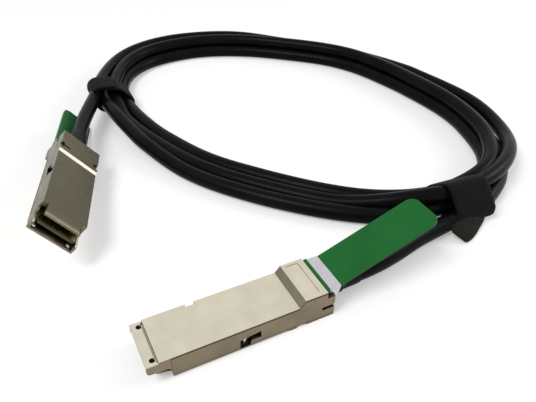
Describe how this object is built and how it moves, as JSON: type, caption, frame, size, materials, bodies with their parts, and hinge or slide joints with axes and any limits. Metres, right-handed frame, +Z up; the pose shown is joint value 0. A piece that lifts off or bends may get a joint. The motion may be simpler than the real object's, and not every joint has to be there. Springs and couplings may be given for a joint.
{
  "type": "direct attach copper cable",
  "caption": "Coiled twinax copper cable with a die-cast pluggable module, pull tab and release slider at each end, held by hook-and-loop ties.",
  "frame": {"origin": "nose tip of the flat-lying plug, on its centre plane, at the surface that its rear block rests on", "axes": "+X from that plug's nose to its cable, +Y to its left side, +Z up"},
  "size_m": [0.2326, 0.2471, 0.0276],
  "materials": {
    "plated_casting": "satin nickel plate on die-cast zinc",
    "steel": "polished stainless sheet",
    "green_plastic": "satin moulded elastomer",
    "card": "solder mask over glass epoxy",
    "gold": "gold plate",
    "black_plastic": "moulded package",
    "wire_foil": "foil shield",
    "black_rubber": "matte",
    "cable_jacket": "satin extruded jacket",
    "tie_fabric": "napped hook-and-loop tape"
  },
  "bodies": {
    "cable_assembly": {"plug_a_bottom_housing": "plated_casting", "plug_a_top_cover": "plated_casting", "plug_a_paddle_card": "card", "plug_a_contact_pads": "gold", "plug_a_memory_chip": "black_plastic", "plug_a_twinax_pairs": "wire_foil", "plug_a_crimp_ferrule": "steel", "plug_a_cable_boot": "black_rubber", "plug_a_return_spring_left": "steel", "plug_a_return_spring_right": "steel", "plug_b_bottom_housing": "plated_casting", "plug_b_top_cover": "plated_casting", "plug_b_paddle_card": "card", "plug_b_contact_pads": "gold", "plug_b_memory_chip": "black_plastic", "plug_b_twinax_pairs": "wire_foil", "plug_b_crimp_ferrule": "steel", "plug_b_cable_boot": "black_rubber", "plug_b_return_spring_left": "steel", "plug_b_return_spring_right": "steel", "cable_lead_a": "cable_jacket", "cable_lead_b": "cable_jacket", "cable_coil": "cable_jacket", "tie_left": "tie_fabric", "tie_right": "tie_fabric"},
    "slider_a": {"plug_a_release_slider": "steel", "plug_a_pull_tab": "green_plastic"},
    "slider_b": {"plug_b_release_slider": "steel", "plug_b_pull_tab": "green_plastic"}
  },
  "joints": [
    {"name": "pull_a", "type": "slide", "parent": "cable_assembly", "child": "slider_a", "axis": [1, 0, 0], "range_m": [0, 0.003], "stiffness_N_per_m": 2000, "deforming": ["plug_a_return_spring_left", "plug_a_return_spring_right"]},
    {"name": "pull_b", "type": "slide", "parent": "cable_assembly", "child": "slider_b", "axis": [0.2815, 0.9566, -0.075], "range_m": [0, 0.003], "stiffness_N_per_m": 2000, "deforming": ["plug_b_return_spring_left", "plug_b_return_spring_right"]}
  ]
}
